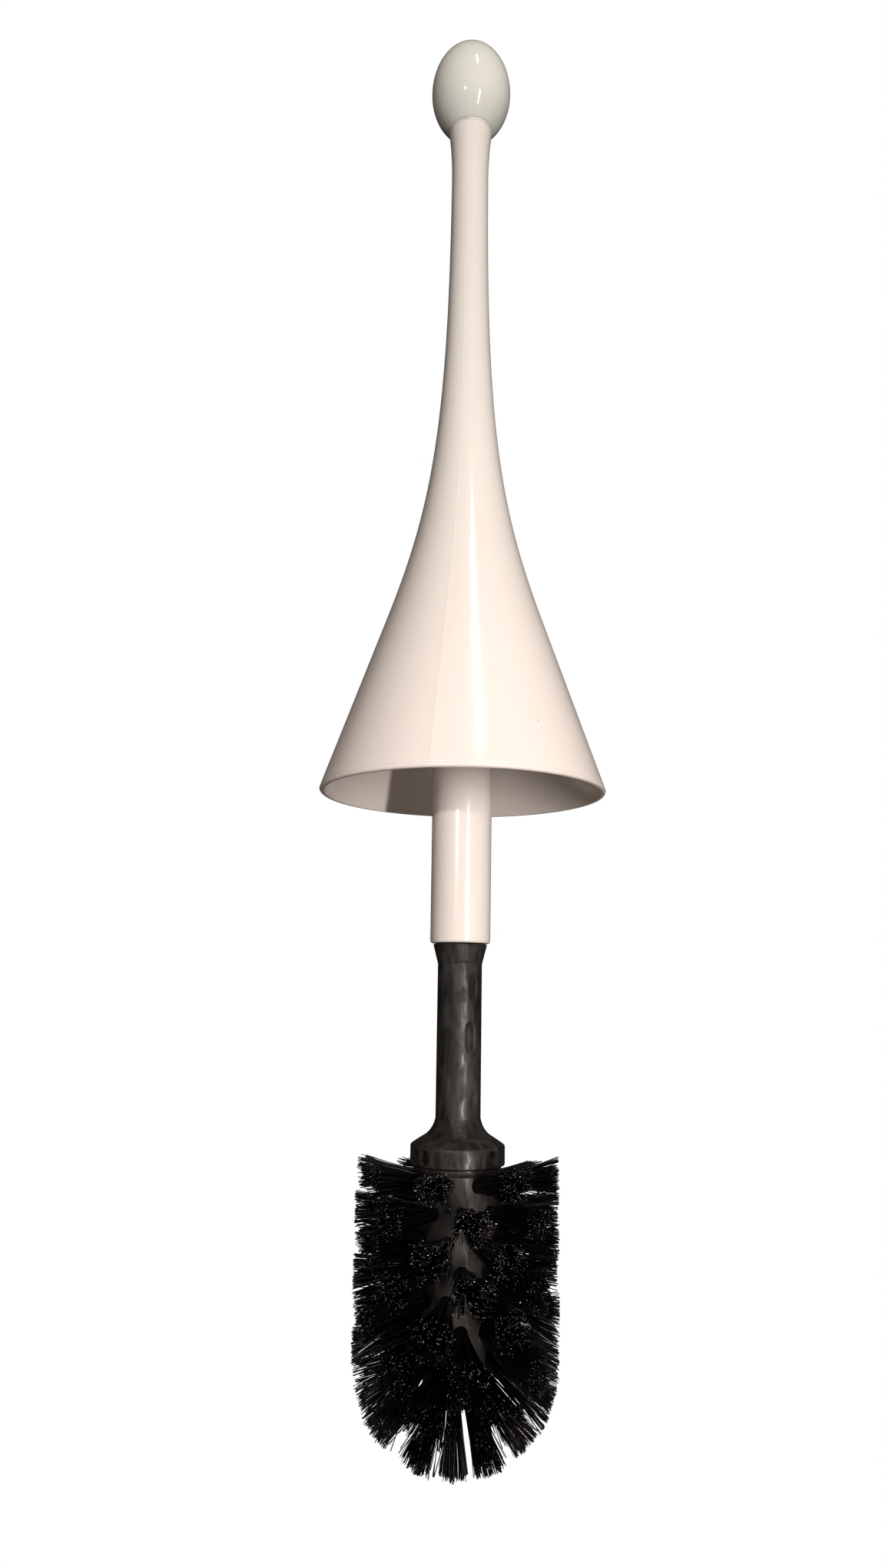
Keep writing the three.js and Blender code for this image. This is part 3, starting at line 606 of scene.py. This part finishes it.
def stem_outline():
    """From the collar's bore, round the collar and up the shank to the spigot's top."""
    fillet, _ = bezier([SHOULDER, FILLET_CORNER, (SHANK_RADIUS, SHANK_BOTTOM_Z)], 24)
    shoulder, _ = bezier([(COLLAR_RADIUS - 0.12, COLLAR_TOP_Z + 0.2), SHOULDER_CORNER, SHOULDER], 16)
    shank = steps([(SHANK_RADIUS, SHANK_BOTTOM_Z), (SHANK_RADIUS, FLARE_BOTTOM_Z - 0.15)], 0.4)
    flare = steps([(SHANK_RADIUS + 0.08, FLARE_BOTTOM_Z), (FLARE_RADIUS - 0.04, FLARE_TOP_Z - 0.45)], 1.0)
    thread = steps([(THREAD_RADII[0], THREAD_BOTTOM_Z), (THREAD_RADII[0], SPIGOT_TOP_Z - 0.3)], 0.2)
    bore_radius, bore_top = COLLAR_BORE
    return [
        (0, bore_top),
        (bore_radius, bore_top),
        *steps([(bore_radius, bore_top), (bore_radius, COLLAR_BOTTOM_Z + 0.2)], 0.8)[1:],
        (bore_radius + 0.2, COLLAR_BOTTOM_Z),
        *arc((COLLAR_RADIUS - 0.35, COLLAR_BOTTOM_Z + 0.35), (0.35, 0.35), -90, 0, 5),
        *steps([(COLLAR_RADIUS, COLLAR_BOTTOM_Z + 0.5), (COLLAR_RADIUS, COLLAR_TOP_Z - 0.05)], 0.8),
        *shoulder,
        *fillet[1:],
        *shank[1:],
        *flare,
        *arc((FLARE_RADIUS - 0.35, FLARE_TOP_Z - 0.35), (0.35, 0.35), 0, 90, 5),
        (SPIGOT_NECK_RADIUS, FLARE_TOP_Z),
        (SPIGOT_NECK_RADIUS, THREAD_BOTTOM_Z - 0.1),
        *thread,
        (THREAD_RADII[0] - 0.3, SPIGOT_TOP_Z),
        (0, SPIGOT_TOP_Z),
    ]


def window_places(radius, start, end, end_radius=None):
    """Round bars at the collar's windows, tapered if the end has a radius of its own."""
    places = []
    for k in range(WINDOW_COUNT):
        angle = from_front((k + 0.5) * 360 / WINDOW_COUNT)
        out = np.array([math.cos(angle), math.sin(angle), 0])
        lift = np.array([0, 0, WINDOW_Z])
        places.append((out * start + lift, out * end + lift, radius, end_radius or radius))
    return places


stem = revolve("stem_body", stem_outline(), 144, shift=stem_shift)
cut(stem, bars("window_cutter", window_places(WINDOW_RADIUS, *WINDOW_SPAN), 40))
wide_window = WINDOW_RADIUS + WINDOW_CHAMFER
cut(stem, bars("chamfer_cutter", window_places(WINDOW_RADIUS - 0.3, *CHAMFER_SPAN, wide_window), 40))
finish(stem, "brush_head", "brush_stem", "stem_black", STEM_BLACK)


# ---- Bristle core ----

def core_radius(height):
    """The core's radius at a height on its tapered side."""
    return float(np.interp(-height, (-CORE_TOP[1], -CORE_BOTTOM[1]), (CORE_TOP[0], CORE_BOTTOM[0])))


def tuft_places():
    """Every tuft's place: the rows from the top down, and then the core's rounded end."""
    places = []
    for row in range(ROW_COUNT):
        height = ROW_TOP_Z - ROW_PITCH * row
        radius = core_radius(height) - 0.1
        tilt = math.radians(ROW_TILTS[row])
        for k in range(TUFTS_PER_ROW):
            turn = (EVEN_ROW_TURN if row % 2 else ODD_ROW_TURN) + 360 * k / TUFTS_PER_ROW
            depth = (radius - HOLE_END_RADIUS) / math.cos(tilt)
            places.append(place(f"bristle_row_{row + 1}", radius, height, turn, tilt, depth))
    seat = math.radians(END_SEAT)
    radius, height = CORE_BOTTOM[0] * math.cos(seat), CORE_BOTTOM[1] - CORE_DOME * math.sin(seat)
    tilt = math.radians(END_TILT)
    for k in range(END_TUFTS):
        turn = END_TURN + 360 * k / END_TUFTS
        places.append(place(f"end_tuft_{k + 1}", radius, height, turn, tilt, END_HOLE_DEPTH))
    bottom = CORE_BOTTOM[1] - CORE_DOME
    places.append(place("end_tuft_centre", 0, bottom, 90, math.pi / 2, END_HOLE_DEPTH))
    return places


def place(node, radius, height, turn, tilt, depth):
    """One tuft's name, root, outward direction, direction across and hole depth."""
    angle = from_front(turn)
    out = np.array([math.cos(angle), math.sin(angle), 0])
    across = np.array([-math.sin(angle), math.cos(angle), 0])
    direction = out * math.cos(tilt) - np.array([0, 0, math.sin(tilt)])
    return node, out * radius + np.array([0, 0, height]), direction, across, depth


def core_outline():
    """From the dome's foot, up the tapered side and the flange to the boss in the collar's bore."""
    boss_top = COLLAR_BORE[1] - GAP
    flange_top = COLLAR_BOTTOM_Z - 0.5
    return [
        *arc((0, CORE_BOTTOM[1]), (CORE_BOTTOM[0], CORE_DOME), -90, 0, 18),
        *steps([(CORE_BOTTOM[0], CORE_BOTTOM[1]), CORE_TOP], 2)[1:],
        (CORE_FLANGE_RADIUS - 0.15, flange_top - 1.25),
        (CORE_FLANGE_RADIUS, flange_top - 0.9),
        (CORE_FLANGE_RADIUS, flange_top),
        (CORE_BOSS_RADIUS, flange_top),
        (CORE_BOSS_RADIUS, boss_top - 0.4),
        (CORE_BOSS_RADIUS - 0.4, boss_top),
        (0, boss_top),
    ]


TUFTS = tuft_places()
core = revolve("core_body", core_outline(), 112)
nubs = window_places(NUB_RADIUS + NUB_TAPER, *NUB_SPAN, NUB_RADIUS - NUB_TAPER)
join(core, bars("nubs", nubs, 32))
holes = []
for _, root, direction, _, _ in TUFTS:
    holes.append((root - direction * HOLE_CUT_DEPTH, root + direction * 4, HOLE_RADIUS))
cut(core, bars("hole_cutter", holes, 20))
finish(core, "brush_head", "bristle_core", "core_black", CORE_BLACK)


# ---- Tufts ----

FILAMENTS = 170  # in a tuft
FILAMENT_RADIUS = 0.165
FILAMENT_LENGTH = 21.5  # outside the core, before the trim
FILAMENT_SHARES = (-1.0, 0.0, 0.3, 0.55, 0.8, 1.0)  # -1 at the hole's floor, 0 at the core, 1 at the tip
LONGEST_SHARE = 1.8  # of the length, the most that the search for the trimmed tip tries
TRIM_HALVINGS = 24  # steps of that search
SIDES = 4
HOLE_FILL_RADIUS = 2.3
CLUMPS = 12  # in a tuft
LEAN = 1.05  # typical distance of a whole tuft's tips from its straight line
STRAY_SHARE, STRAY_REACH = 0.06, 1.6  # of the filaments, and how far their tips stray
HOOK_SHARE, HOOK_REACH = 0.5, 0.35  # of the filaments, and how far their tips bend off
WORN_SHARE, WORN_LOSS = 0.12, 0.12  # of the filaments, and at most so much of their length
# A fan's half width, height above its middle and height below it, at its tips
ROW_SPREAD, END_SPREAD = (7.4, 6.3, 6.3), (6.0, 5.4, 5.4)
BACK_DROOP = 6.0  # the top row's tufts are pressed down at the back
SPREADS = {
    "bristle_row_1": (7.4, 4.2, 7.0),
    "bristle_row_7": (8.4, 6.6, 7.8),
    "end_tuft_centre": (4.8, 4.8, 4.8),
}


def inside_trim(points):
    """Below 1 inside the round shape that the brush is trimmed to, and above 1 outside it."""
    level = np.hypot(points[..., 0], points[..., 1]) / TRIM_RADIUS
    below = np.minimum(points[..., 2] - TRIM_BEND_Z, 0) / (BRUSH_BOTTOM_Z - TRIM_BEND_Z)
    return np.hypot(level, below)


def tuft_lines(rng, root, direction, across, depth, spread):
    """The centre lines of one tuft's filaments: a bundle in its hole that fans out in clumps, with stray
    and hooked filaments, and is trimmed a little raggedly."""
    upwards = np.cross(direction, across)
    count = FILAMENTS
    reach = HOLE_FILL_RADIUS * np.sqrt((np.arange(count) + 0.5) / count)
    turn = np.arange(count) * math.pi * (3 - math.sqrt(5)) + rng.uniform(0, 6)
    seat = np.stack([reach * np.cos(turn), reach * np.sin(turn)], axis=1)
    clumps = rng.uniform(-0.95, 0.95, (CLUMPS, 2))
    corner = np.maximum(abs(np.cos(turn)), abs(np.sin(turn))) ** -0.6
    tip = seat / HOLE_FILL_RADIUS * corner[:, None]
    nearest = np.argmin(np.linalg.norm(tip[:, None] - clumps[None], axis=2), axis=1)
    pull = rng.uniform(0.1, 0.6, count)[:, None]
    tip = tip * (1 - pull) + clumps[nearest] * pull + rng.normal(0, 0.10, (count, 2))
    lean = rng.normal(0, LEAN, 2)
    across_share, up, down = spread
    tip[:, 0] *= across_share
    tip[:, 1] *= np.where(tip[:, 1] > 0, up, down)
    tip += lean
    if direction[2] > 0.1:
        tip[:, 1] -= BACK_DROOP * max(0, direction[1]) ** 2
    stray = rng.random(count) < STRAY_SHARE
    tip[stray] += rng.normal(0, STRAY_REACH, (stray.sum(), 2))
    bend = rng.uniform(1.0, 1.35, count)
    hook = rng.normal(0, HOOK_REACH, (count, 2)) * (rng.random(count) < HOOK_SHARE)[:, None]
    low, high = np.zeros(count), np.full(count, LONGEST_SHARE)

    def at(share):
        """Each filament's point at a share of its length."""
        grown = np.maximum(share, 0)
        side = seat + (tip - seat) * (grown ** bend)[:, None] + hook * (grown ** 4)[:, None]
        forward = np.where(share < 0, share * (depth - 0.4), share * FILAMENT_LENGTH)
        return root + forward[:, None] * direction + side[:, :1] * across + side[:, 1:] * upwards

    for _ in range(TRIM_HALVINGS):
        middle = (low + high) / 2
        out = inside_trim(at(middle)) > 1
        high = np.where(out, middle, high)
        low = np.where(out, low, middle)
    ragged = rng.normal(0, 0.012, count) + rng.normal(0, 0.014, len(clumps))[nearest]
    ragged -= (rng.random(count) < WORN_SHARE) * rng.uniform(0, WORN_LOSS, count)
    end = np.minimum(low * (1 + ragged), low + 0.02)
    lines = [at(np.where(share < 0, share, share * end)) for share in FILAMENT_SHARES]
    return np.stack(lines, axis=1)


def tuft_mesh(name, lines, rng):
    """Square-sectioned filaments along the lines, each with a cut end, as one mesh. The cut ends' faces come
    last, and have a paler material with painted glints."""
    count, rings = lines.shape[:2]
    along = np.gradient(lines, axis=1)
    along /= np.linalg.norm(along, axis=2, keepdims=True)
    helper = np.where(np.abs(along[..., 2:]) > 0.9, np.array([1.0, 0, 0]), np.array([0, 0, 1.0]))
    first = np.cross(along, helper)
    first /= np.linalg.norm(first, axis=2, keepdims=True)
    second = np.cross(along, first)
    roll = rng.uniform(0, 2 * math.pi, (count, 1))
    radius = FILAMENT_RADIUS * rng.uniform(0.85, 1.12, (count, 1, 1))
    corners = []
    for k in range(SIDES):
        angle = (roll + 2 * math.pi * k / SIDES)[..., None]
        corners.append(lines + radius * (np.cos(angle) * first + np.sin(angle) * second))
    points = np.stack(corners, axis=2)
    slant = rng.uniform(-0.16, 0.16, (count, SIDES, 1))
    points[:, -1] += slant * along[:, -1:, :]
    points = points.reshape(-1, 3)
    faces, ends = [], []
    for i in range(count):
        for ring in range(rings - 1):
            base = (i * rings + ring) * SIDES
            for k in range(SIDES):
                j = (k + 1) % SIDES
                faces.append((base + k, base + j, base + SIDES + j, base + SIDES + k))
        base = i * rings * SIDES
        faces.append(tuple(base + k for k in reversed(range(SIDES))))
        ends.append(tuple(base + (rings - 1) * SIDES + k for k in range(SIDES)))
    obj = mesh_object(name, points, faces + ends, sharp=50)
    slots = np.zeros(len(obj.data.polygons), int)
    slots[len(faces):] = 1
    obj.data.materials.append(BRISTLE_BLACK)
    # the cut ends: paler plastic with painted glints
    obj.data.materials.append(BRISTLE_CUT_GLINT)
    obj.data.polygons.foreach_set("material_index", slots)
    return obj


def make_tufts():
    """One piece for each bristle row and each end tuft, every tuft from random draws of its own."""
    by_node = {}
    for index, (node, *where) in enumerate(TUFTS):
        rng = np.random.default_rng(SEED * 1000 + index)
        spread = SPREADS.get(node, END_SPREAD if node.startswith("end_tuft") else ROW_SPREAD)
        by_node.setdefault(node, []).append(tuft_lines(rng, *where, spread))
    for number, (node, lines) in enumerate(by_node.items()):
        rng = np.random.default_rng(SEED * 77 + number)
        name = node.replace("bristle_row", "filaments_row").replace("end_tuft", "filaments_end")
        obj = tuft_mesh(name, np.concatenate(lines), rng)
        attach(obj, "brush_head")
        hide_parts(node)


make_tufts()


# ---- CAD pieces that stay ----

KEPT = {
    "knob_insert": BRASS,
    "tie_rod": STEEL,
    "tie_rod_washer": STEEL,
    "tie_rod_nut": STEEL,
    "centring_cone": HANDLE_WHITE,
    "socket_bush": STEM_BLACK,
    "stem_seal": SEAL_RUBBER,
}
for node, material in KEPT.items():
    for place_in_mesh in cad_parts[node].material_slots:
        place_in_mesh.material = material


# ---- Floor, light and camera ----

FLOOR_Z = BRUSH_BOTTOM_Z - 260
FLOOR_HALF = 6000
FLOOR_GREYS = ((0.12, 0.11, 0.10), (0.15, 0.14, 0.13))  # what its light bounces off
PALE = (1.0, 1.0, 1.0)
ROOM_BRIGHTEST = (0.35, -0.62, 0.70)  # direction from the brush
ROOM_STRENGTHS = (0.045, 0.285)  # dimmest and brightest
ROOM_COLOUR = (1.0, 0.88, 0.78)
WARM = (1.0, 0.93, 0.88)
CAMERA_PLACE = (-8, -412, -74)
CAMERA_PITCH, CAMERA_ROLL = 10.74, 0.95  # degrees above the level, and turned about the view
CAMERA_LENS, SENSOR_HEIGHT = 25.6, 36


def camera_only(tree, shown, other):
    """A shader that the camera sees as one thing, while the light bounces off another."""
    path = tree.nodes.new("ShaderNodeLightPath")
    mix = tree.nodes.new("ShaderNodeMixShader")
    tree.links.new(path.outputs["Is Camera Ray"], mix.inputs["Fac"])
    tree.links.new(other, mix.inputs[1])
    tree.links.new(shown, mix.inputs[2])
    return mix.outputs["Shader"]


def make_floor():
    """A plain pale floor that runs into the backdrop without a horizon."""
    signs = ((-1, -1), (1, -1), (1, 1), (-1, 1))
    corners = [(x * FLOOR_HALF, y * FLOOR_HALF, FLOOR_Z) for x, y in signs]
    floor = mesh_object("floor", corners, [(0, 1, 2, 3)])
    s = Surface("floor_paint", 0.9, FLOOR_GREYS[0])
    s.colour(s.mix(s.noise(3), *FLOOR_GREYS))
    glow = s.tree.nodes.new("ShaderNodeEmission")
    glow.inputs["Color"].default_value = (*PALE, 1)
    glow.inputs["Strength"].default_value = 1.0
    shader = camera_only(s.tree, glow.outputs["Emission"], s.shader.outputs["BSDF"])
    s.link(shader, s.tree.nodes["Material Output"].inputs["Surface"])
    floor.data.materials.append(s.material)


def make_world():
    """White to the camera. For lighting, a dim warm room that is brighter above at the front right."""
    world = bpy.data.worlds.new("studio")
    bpy.context.scene.world = world
    world.use_nodes = True
    tree = world.node_tree
    towards = tree.nodes.new("ShaderNodeVectorMath")
    towards.operation = "DOT_PRODUCT"
    towards.inputs[1].default_value = ROOM_BRIGHTEST
    tree.links.new(tree.nodes.new("ShaderNodeTexCoord").outputs["Generated"], towards.inputs[0])
    strength = tree.nodes.new("ShaderNodeMapRange")
    strength.interpolation_type = "SMOOTHSTEP"
    strength.inputs["From Min"].default_value = -0.1
    strength.inputs["From Max"].default_value = 1.0
    strength.inputs["To Min"].default_value = ROOM_STRENGTHS[0]
    strength.inputs["To Max"].default_value = ROOM_STRENGTHS[1]
    tree.links.new(towards.outputs["Value"], strength.inputs["Value"])
    room = tree.nodes["Background"]
    room.inputs["Color"].default_value = (*ROOM_COLOUR, 1)
    tree.links.new(strength.outputs["Result"], room.inputs["Strength"])
    white = tree.nodes.new("ShaderNodeBackground")
    white.inputs["Color"].default_value = (*PALE, 1)
    shader = camera_only(tree, white.outputs["Background"], room.outputs["Background"])
    tree.links.new(shader, tree.nodes["World Output"].inputs["Surface"])


def area_light(name, turn, elevation, distance, size, power, aim=0.0):
    """A rectangular light at so many degrees from the front and above the level, facing a height on the
    axis. Lengths here are in metres, and the power in watts is spread over the light's whole area."""
    data = bpy.data.lights.new(name, "AREA")
    data.shape = "RECTANGLE"
    data.size, data.size_y = size
    data.energy = power
    data.color = WARM
    light = bpy.data.objects.new(name, data)
    angle, lift = from_front(turn), math.radians(elevation)
    away = Vector((math.cos(angle) * math.cos(lift), math.sin(angle) * math.cos(lift), math.sin(lift)))
    light.location = Vector((0, 0, aim)) + away * distance
    light.rotation_euler = away.to_track_quat("Z", "Y").to_euler()
    bpy.context.scene.collection.objects.link(light)


def make_lights():
    """A tall narrow light at the right, small ones at the left and low down, and a long one high up."""
    area_light("right_strip", 24, -11, distance=1.5, size=(0.065, 1.0), power=28)
    area_light("left_spot", -18, 10, distance=1.5, size=(0.034, 0.04), power=6.5)
    area_light("low_spot", -7, -37, distance=0.7, size=(0.012, 0.012), power=0.12)
    area_light("ceiling_strip", 17.5, 57.5, distance=2.0, size=(0.05, 0.5), power=5.5, aim=0.05)


def make_camera():
    """Below the bell and close to the brush, looking up, as a phone is held."""
    data = bpy.data.cameras.new("camera")
    data.sensor_fit = "VERTICAL"
    data.sensor_height = SENSOR_HEIGHT
    data.lens = CAMERA_LENS
    data.clip_start = 0.01
    camera = bpy.data.objects.new("camera", data)
    pitch, roll = math.radians(90 + CAMERA_PITCH), math.radians(CAMERA_ROLL)
    turned = Matrix.Rotation(pitch, 4, "X") @ Matrix.Rotation(roll, 4, "Z")
    camera.matrix_world = Matrix.Translation(Vector(CAMERA_PLACE) * MM) @ turned
    bpy.context.scene.collection.objects.link(camera)
    bpy.context.scene.camera = camera


make_floor()
make_world()
make_lights()
make_camera()
bpy.context.scene.view_settings.view_transform = "Standard"
